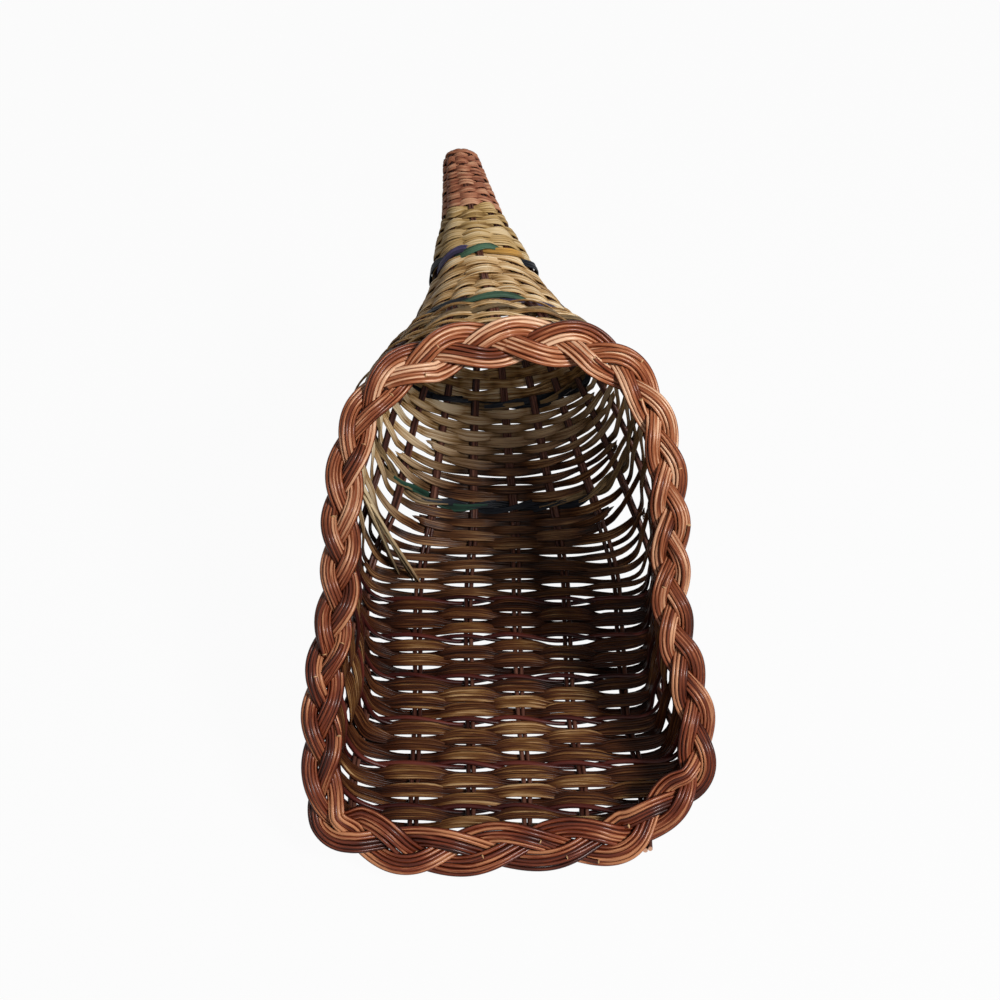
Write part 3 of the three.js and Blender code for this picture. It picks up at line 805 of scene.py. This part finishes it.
# %% How the heel's rows share the wall
TAIL_ROOT = 300  # rows spread on the inside up to here, then on the outside
BACK_OUT = ((200, TAIL_ROOT, 372), (WEAVE_OUT, 1.6, 1.45))
LEFT_DRAW, RIGHT_DRAW = 0.25, 0.37
FADE_SPAN, FADE_CURVE = 0.18, 0.7


def side_narrow(turn):
    """Rows draw together at the sides of the heel, which leaves long windows between them."""
    rise = np.clip((np.abs(turn) - 0.1) / 0.2, 0, 1)
    fall = np.clip((0.9 - np.abs(turn)) / 0.2, 0, 1)
    return 1 - np.where(turn < 0, LEFT_DRAW, RIGHT_DRAW) * np.minimum(rise, fall)


def heel_ways(turn, start, stop, ends):
    """The way of ring, loop out, loop back and ring at each turn."""
    end = np.where(turn < 0, ends[0], ends[1]) + 0.02
    loop = np.clip((end - np.abs(turn)) / FADE_SPAN, 0, 1) ** FADE_CURVE
    ring = np.ones(len(turn))
    weights = np.stack((ring, loop, loop, ring))
    middles = (np.cumsum(weights, axis=0) - weights / 2) / weights.sum(axis=0)
    return start + (stop - start) * middles


print("rows at the bottom of a group:", heel_ways(np.zeros(1), 0, 1, (0.3, 0.3)).ravel().round(3))

# %% Loose ends inside the border
LOOSE_ENDS, LOOSE_SPAN = 16, 9
LOOSE_TAPER = ((0, 0.8, 1), (1.25, 1.25, 0.7))


def lay_loose_ends(paths):
    """Split ends of weavers, turned down inside the border on the left and left long."""
    u = np.linspace(0, 1, 12)
    for k in np.linspace(0, LOOSE_SPAN, LOOSE_ENDS):
        high = -0.53 + 0.011 * k + rng.uniform(-0.01, 0.01)
        low = -0.31 + 0.012 * k + rng.uniform(-0.015, 0.015)
        facing = outward(200.0, high)
        root = wall(193 + 1.5 * k, high) - facing * 3
        end = wall(218 - 2.3 * k, low) - facing * rng.uniform(3, 6)
        bow = rng.uniform(-1, 2) * np.sin(pi * u)
        points = root + (end - root) * u[:, None] - facing * bow[:, None]
        bleach = 0.6 - 0.5 * u
        paths.lay(points, facing, 1.1, np.interp(u, *LOOSE_TAPER), bleach, shade=rng.uniform(-0.1, 0.25))


print("loose ends:", LOOSE_ENDS)

# %% Rings and loops
HEEL_TUCK = 9
RING_GAPS, RING_CLOSED = ((215, 255), (1.38, 1.2)), 0.72
BULGE = 0.01  # how far a loop goes on past its last stake


def lay_ring(paths, start, stop, ends, last):
    middle = start + (stop - start) * ROWS_IN_COURSE[last]
    edges = [reach(middle, side, HEEL_TUCK) for side in (-1, 1)]
    closed = min(edges) == 1.0
    turn = round_steps(-1, 1)[:-1] if closed else round_steps(-edges[0], edges[1])
    way = heel_ways(turn, start, stop, ends)[3 * last] + wander(turn, 0.4)
    wave = np.cos(pi * (stake_count(turn) + row + last))
    gaps = np.interp(start, *RING_GAPS) * np.array([1, RING_CLOSED])
    out = np.interp(start, *BACK_OUT)
    lay_row(paths, way, turn, wave, out, 5, gaps, closed=closed, narrow=side_narrow(turn))


def loop_route(start, stop, ends):
    """Out along one way, round a stake, back along the next way and round a stake again."""
    turn = round_steps(-ends[0], ends[1])
    _, there, back, _ = heel_ways(turn, start, stop, ends)
    bulge = np.array([0.35, 1.0, 0.35]) * BULGE
    around = np.concatenate((turn, ends[1] + bulge, turn[::-1], -ends[0] - bulge))
    shift = np.array([0.15, 0.5, 0.85])
    right = there[-1] + (back[-1] - there[-1]) * shift
    left = back[0] + (there[0] - back[0]) * shift
    way = np.concatenate((there, right, back[::-1], left))
    count = stake_count(turn) + row + 1
    still = np.zeros(3)
    wave = np.concatenate((weave(count), still, weave(count[::-1] + 1), still))
    one = np.ones(len(turn))
    sign = np.concatenate((one, (0.6, 0, -0.6), -one, (-0.6, 0, 0.6)))
    return way, around, wave, sign


def lay_loop(paths, way, turn, wave, sign, offset):
    wave = wave * offset
    shows = np.clip((1 - wave / WEAVE_OUT) / 2, 0, 1)
    narrow = side_narrow(turn)
    step = real_step(way, turn)
    for k in (-1.5, -0.5, 0.5, 1.5):
        beside = k * sign * (0.75 + 0.5 * shows) * narrow / step
        spot = turn + np.where(sign * sign < 0.5, k * 0.006 * np.sign(turn), 0)
        along = crossing(way + beside, spot)
        facing = outward(along, spot)
        out = wave + rng.uniform(-0.2, 0.2)
        points = wall(along, spot) + facing * out[:, None]
        # wear and painted light where the loop stands out, painted shade where it dives
        shade = rubbed_and_shaded(wave / WEAVE_OUT) + rng.uniform(-0.08, 0.08)
        spread = (EDGE_ON + (1 - EDGE_ON) * shows) * narrow
        paths.lay(points, facing, spread, closed=True, shade=shade)


def back_weaver_piece(name, start, stop):
    global row
    paths = Paths()
    if name == "back_weaver_01":
        lay_loose_ends(paths)
    ends = [(rng.integers(2, 5) + 0.27 + side * STAKE_PHASE) / (STAKES / 2) for side in (-1, 1)]
    for last in (0, 1):
        lay_ring(paths, start, stop, ends, last)
    lay_loop(paths, *loop_route(start, stop, ends), np.interp(start, *BACK_OUT))
    row += 2
    cane_piece(paths, name, "back_weaver", width=2.05, thickness=1.0)


for course in of_kind("back_weaver"):
    if course[1] < TAIL_ROOT:
        back_weaver_piece(*course)
print("pieces so far:", len(pieces))

# %% [markdown]
# ## Dyed pairs
# Three rings round the back are worked in green, violet, gold and navy. They are made of short lengths: each
# lies slanted over the outside of one stake, and its ends are tucked in behind the stakes on both sides.
# The dye is one more number on the path, and the finish turns it into a colour, which saves a material for
# each dye. Where the photo shows the dyes they are listed one by one. Elsewhere they are plain or by chance.

# %% Dyed rings
GREEN, VIOLET, GOLD, NAVY, STRAW, PINE = 0.1, 0.3, 0.5, 0.7, 0.85, 0.95
SEEN_DYES = {
    "accent_pairing_01": {17: STRAW, 18: PINE, 19: NAVY, 0: NAVY, 1: NAVY},
    "accent_pairing_02": dict(enumerate((NAVY, NAVY, STRAW, NAVY, VIOLET, GREEN, NAVY, STRAW, NAVY, STRAW))),
    "accent_pairing_03": {3: NAVY, 4: GOLD, 5: GREEN, 6: VIOLET, 7: NAVY},
}
DYED_REACH, DYED_SLANT = 1.35, -2.2  # in stakes to each side, and in millimetres
DYED_NARROW = ((0.5, DYED_REACH), (1, 0.4))


def accent_pairing_piece(name, start, stop):
    every = 2 if start > TAIL_ROOT else 1
    out = np.interp(start, *BACK_OUT) + (0.1 if every == 1 else 1.1)
    centre = (start + stop) / 2
    paths = Paths()
    for middle in range(STAKES // every):
        beside = np.linspace(-DYED_REACH, DYED_REACH, 25)
        turn = (((middle + beside) * every + STAKE_PHASE) / (STAKES / 2) + 1) % 2 - 1
        wave = np.cos(pi * beside / every**0.5)
        climb = DYED_SLANT * np.sin(pi * beside) * np.cos(pi * beside / 4)
        way = centre + climb / real_step(centre, turn)
        unseen = STRAW if every == 1 else rng.choice((GREEN, VIOLET, STRAW))
        dye = SEEN_DYES[name].get(middle, unseen)
        narrow = np.interp(np.abs(beside), *DYED_NARROW)
        lay_row(paths, way, turn, wave, out, strands=4, gaps=(1.15, 1.35), dye=dye, stack=0.1, narrow=narrow)
    cane_piece(paths, name, "accent_pairing", width=2.0, thickness=1.0)


for course in of_kind("accent_pairing"):
    accent_pairing_piece(*course)
print("pieces so far:", len(pieces))

# %% [markdown]
# ## The tail and its tip
# Past the heel the weave is tight, and here the outside shows. Past the neck only the long stakes count, so
# a row passes every second place. The khaki rows spread where they lie outside a stake and hide the row
# behind it. At the tip the same weave goes on in finer red-brown cane. A bump on a smooth cone could stand
# for rows this fine, but their edge shows against the floor, so they are laid like the others.

# %% Khaki and red-brown rings
TILT = 1.6  # the rows climb a little towards the right
TAIL_OUT = ((TAIL_ROOT, TAIL_START, TIP_END), (1.4, 1.25, 0.85))
TAIL_WEAVE = {  # rows in a course, strands in a row, their gaps, width and paleness
    "back_weaver": (3, 5, (1.5, 0.85), 1.85, -0.04),
    "tail_weaver": (2, 5, (1.45, 0.7), 1.75, 0.0),
    "tip_weaver": (5, 3, (1.3, 0.75), 1.8, 0.0),
}


def tail_piece(kind, name, start, stop):
    global row
    rows, strands, gaps, width, tone_and_shade = TAIL_WEAVE[kind]
    paths = Paths()
    for i in range(rows):
        centre = start + (stop - start) * (i + 0.5) / rows
        every = 1 if centre < NECK else 2
        turn = round_steps(-1, 1, every)[:-1]
        wave = np.cos(pi * (stake_count(turn, every) + row))
        way = centre + TILT * np.sin(pi * turn) + wander(turn, 0.25)
        out = np.interp(centre, *TAIL_OUT)
        lay_row(paths, way, turn, wave, out, strands, gaps, -1, True, stack=0.1, tone_and_shade=tone_and_shade)
        row += 1
    cane_piece(paths, name, kind, width, thickness=0.9)


for kind in TAIL_WEAVE:
    for course in of_kind(kind):
        if course[1] > TAIL_ROOT:
            tail_piece(kind, *course)
print("pieces so far:", len(pieces))

# %% The closed end
CAP_RADIUS, CAP_LENGTH, CAP_TURNS = 9.9, 6.4, 6
CAP_CORE, CAP_CURVE = 0.25, 0.9  # where the spiral ends, and how fast it closes
CAP_TAPER = ((0, 0.01, 0.9, 1), (0.7, 1.2, 0.95, 0.5))
tip_middle = (wall(TIP_END, 0.0) + wall(TIP_END, 1.0)) / 2 - TAIL_AXIS
side_axis = np.array([1.0, 0, 0])
up_axis = np.cross(side_axis, TAIL_AXIS)
spiral = np.linspace(0, 1, CAP_TURNS * 40)
cap_paths = Paths()
for k in range(2):
    bearing = spiral * CAP_TURNS * 2 * pi + k * pi
    radius = (CAP_RADIUS - CAP_CORE) * (1 - spiral) ** CAP_CURVE + CAP_CORE
    rise = CAP_LENGTH * np.sqrt(np.clip(1 - (radius / (CAP_RADIUS + 0.4)) ** 2, 0, 1))
    ring = np.cos(bearing)[:, None] * side_axis + np.sin(bearing)[:, None] * up_axis
    facing = unit(ring * (radius / CAP_RADIUS)[:, None] + TAIL_AXIS * (rise / CAP_LENGTH + 0.05)[:, None])
    bump = 0.35 * np.cos(bearing * 5 + k * pi)
    points = tip_middle + ring * radius[:, None] + TAIL_AXIS * rise[:, None] + facing * bump[:, None]
    cap_paths.lay(points, facing, 1.0, np.interp(spiral, *CAP_TAPER))
cane_piece(cap_paths, "tip_cap_01", "tip_weaver", width=1.7, thickness=1.1)
print("pieces so far:", len(pieces))

# %% [markdown]
# ## The plaited border
# Three flat strands of five varnished rods go round the mouth as a plait: a strand that leaves either edge
# passes over the next one and then under the third. A plait is a pair of waves, one to the side and one up
# and down at twice the pace, a third of a turn apart for the three strands. One modelled turn could be
# repeated, but on the real one the turns are longer at the bottom than at the sides, and both lower corners
# are cut off slanted. Short rods with pale cut ends lie where a new one was joined.

# %% The rim at even steps
RIM_STEPS, RIM_TURNS = 1440, 800
CORNER_CUTS = ((0.6, 0.8, 11.5), (-0.45, 0.89, 7))  # to the right, downwards, and how much is cut off
SOFTEN = 36
rim_turns = np.linspace(-1, 1, RIM_TURNS + 1)[:-1]
raw_rim = wall(mouth_way(rim_turns), rim_turns)
run = np.concatenate(([0], np.cumsum(np.linalg.norm(np.roll(raw_rim, -1, axis=0) - raw_rim, axis=1))))
even = np.linspace(0, run[-1], RIM_STEPS, endpoint=False)
closed_rim = np.concatenate((raw_rim, raw_rim[:1]))
rim = np.column_stack([np.interp(even, run, closed_rim[:, i]) for i in range(3)])
mouth_right = unit(np.cross((0, 0, 1), MOUTH_FACING))
mouth_down = np.cross(mouth_right, MOUTH_FACING)
for right, down, cut in CORNER_CUTS:
    towards = right * mouth_right + down * mouth_down
    reached = rim @ towards
    rim = rim - np.maximum(reached - reached.max() + cut, 0)[:, None] * towards
kernel = np.hanning(2 * SOFTEN + 1)[1:-1]
kernel /= kernel.sum()
padded = np.concatenate((rim[-SOFTEN + 1 :], rim, rim[: SOFTEN - 1]))
rim = np.column_stack([np.convolve(padded[:, i], kernel, "valid") for i in range(3)])
rim_ahead = unit(np.roll(rim, -1, axis=0) - np.roll(rim, 1, axis=0))
rim_out = unit(np.cross(rim_ahead, MOUTH_FACING))
print("rim length:", run[-1], "points:", len(rim))

# %% The three lines of the plait
BORDER_TURNS, SWING, LIFT = 9, 7.9, 3.0
ROD_PITCH = 2.15
SIDE_SWING, SIDE_PITCH = 6.2, 1.6  # the plait is drawn tighter at the sides
LEFT_SHIFT, RIGHT_SHIFT = 5.4, 2.4  # and lies further out there
share = np.arange(RIM_STEPS) / RIM_STEPS
sides = np.clip((np.abs(rim_out[:, 0]) - 0.45) / 0.45, 0, 1)
swing = SWING + (SIDE_SWING - SWING) * sides
pitch = ROD_PITCH + (SIDE_PITCH - ROD_PITCH) * sides
shift = np.where(rim_out[:, 0] < 0, LEFT_SHIFT, RIGHT_SHIFT) * sides
pace = 0.07 * np.sin(2 * pi * share) - 0.09 * np.sin(4 * pi * share)


def strand_line(strand):
    angle = BORDER_TURNS * (2 * pi * share + pace) + 2 * pi * strand / 3
    side = swing * np.sin(angle) + shift
    lift = -LIFT * np.sin(2 * angle)
    line = rim + rim_out * side[:, None] + MOUTH_FACING * lift[:, None]
    ahead = unit(np.roll(line, -1, axis=0) - np.roll(line, 1, axis=0))
    across = unit(np.cross(ahead, MOUTH_FACING))
    return line, across, np.cross(across, ahead)


print("swing, bottom and sides:", swing.max(), swing.min())

# %% Plaited rods
RODS, BORDER_ROD = 5, 2.5
ROD_SIZES, ROD_TONE = (0.9, 1.12), 0.08
CROWN, SIDE_CROWN = 0.2, 0.2  # how far a strand's outer rods drop, and how much more at the sides
JOINS, JOIN_POINTS, JOIN_SIZE, JOIN_UP = 5, (50, 75), 0.9, 1.2
JOIN_PLACE, JOIN_SLANT = 1.2, 1.2


def lay_joined_rods(paths, line, across, up):
    for join in range(JOINS):
        first = int((join + rng.uniform(0.1, 0.9)) / JOINS * RIM_STEPS)
        pick = (first + np.arange(int(rng.uniform(*JOIN_POINTS)))) % RIM_STEPS
        n = len(pick)
        place = rng.uniform(-JOIN_PLACE, JOIN_PLACE)
        aside = place * ROD_PITCH + np.linspace(-JOIN_SLANT, JOIN_SLANT, n) * rng.choice((-1, 1))
        points = line[pick] + across[pick] * aside[:, None] + up[pick] * JOIN_UP
        cut = np.where((np.arange(n) == 0) | (np.arange(n) == n - 1), 1.0, 0.0)
        paths.lay(points, up[pick], 1.0, JOIN_SIZE, cut)


def border_strand_piece(strand):
    line, across, up = strand_line(strand)
    paths = Paths()
    around = share * 2 - 1
    dyed = wander(around * 5, 0.14)
    for rod in range(RODS):
        place = rod - (RODS - 1) / 2
        aside = place * pitch + wander(around * 4, 0.3)
        crown = -(CROWN + SIDE_CROWN * sides) * place**2 + wander(around * 3, 0.3)
        points = line + across * aside[:, None] + up * crown[:, None]
        shade = dyed + rng.uniform(-ROD_TONE, ROD_TONE)
        paths.lay(points[::2], up[::2], 1.0, rng.uniform(*ROD_SIZES), closed=True, shade=shade[::2])
    lay_joined_rods(paths, line, across, up)
    cane_piece(paths, f"border_strand_{strand + 1:02d}", "border_strand", BORDER_ROD, BORDER_ROD, sides=8)


for strand in range(3):
    border_strand_piece(strand)
print("pieces:", len(pieces), "of", len(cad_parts), "CAD nodes")

# %% [markdown]
# ## Floor, light and camera
# The basket stands on a plain white floor that keeps its shadow. The floor shows almost white to the
# camera through Light Path, so that the gaps in the weave stay bright without more light on the cane. One
# soft lamp to the upper right lights the left side of the inside and leaves its right side dark, and a
# wide, weak one from the left fills the shadows.

# %% A pale floor
FLOOR_GLOW, FLOOR_DROP = 0.96, 0.0004
WHITE, GREY = (1, 1, 1, 1), (0.35, 0.35, 0.35, 1)


def seen_directly(tree):
    """1 for rays from the camera and for mirrored and clear rays."""
    rays = node(tree, "ShaderNodeLightPath").outputs
    straight = math_out(tree, "MAXIMUM", rays["Is Camera Ray"], rays["Is Glossy Ray"])
    return math_out(tree, "MAXIMUM", straight, rays["Is Transmission Ray"])


bpy.ops.mesh.primitive_plane_add(size=12, location=(0, 0, -FLOOR_DROP))
ground = bpy.context.object
ground.name = "ground"
paper = bpy.data.materials.new("white_paper")
paper.use_nodes = True
tree = paper.node_tree
matt = tree.nodes["Principled BSDF"]
plug(tree, matt, {"Base Color": GREY, "Roughness": 0.9, "Specular IOR Level": 0.0})
glow = node(tree, "ShaderNodeEmission", {"Color": WHITE, "Strength": 1.0})
amount = times(tree, seen_directly(tree), FLOOR_GLOW)
blend = node(tree, "ShaderNodeMixShader", {0: amount, 1: matt.outputs[0], 2: glow.outputs[0]})
plug(tree, tree.nodes["Material Output"], {"Surface": blend.outputs[0]})
ground.data.materials.append(paper)
print("floor glow", FLOOR_GLOW)

# %% A pale world
AMBIENT = 0.08
world = bpy.data.worlds.new("studio")
bpy.context.scene.world = world
world.use_nodes = True
tree = world.node_tree
strength = times(tree, seen_directly(tree), 1 - AMBIENT)
strength = math_out(tree, "ADD", strength, AMBIENT)
plug(tree, tree.nodes["Background"], {"Color": WHITE, "Strength": strength})
print("ambient", AMBIENT)


# %% Lamps and camera
def stand(name, data, spot, aim):
    made = bpy.data.objects.new(name, data)
    made.location = spot
    made.rotation_euler = (Vector(aim) - Vector(spot)).to_track_quat("-Z", "Y").to_euler()
    bpy.context.collection.objects.link(made)
    return made


def soft_lamp(name, spot, aim, size, power):
    data = bpy.data.lights.new(name, "AREA")
    data.size, data.energy = size, power
    stand(name, data, spot, aim)


soft_lamp("key", (0.88, -0.86, 1.2), (0, 0, 0.1), 0.4, 32)
soft_lamp("fill", (-0.5, -1.1, 1.2), (0, 0, 0.08), 1.2, 3.0)

LENS, SENSOR = 57.6, 36
CAMERA_SPOT, CAMERA_AIM = (-0.0071, -0.6536, 0.7052), (-0.0071, 0.0061, 0.09)
view = bpy.data.cameras.new("photo_view")
view.lens, view.sensor_width = LENS, SENSOR
camera = stand("photo_view", view, CAMERA_SPOT, CAMERA_AIM)
scene = bpy.context.scene
scene.camera = camera
scene.view_settings.view_transform = "Standard"
print("camera at", tuple(camera.location))

# %% [markdown]
# ## Triangles
# The triangles of the finished pieces are counted.

# %% Count the triangles of the finished pieces
print("triangles:", sum(len(p.data.loops) - 2 * len(p.data.polygons) for p in pieces))
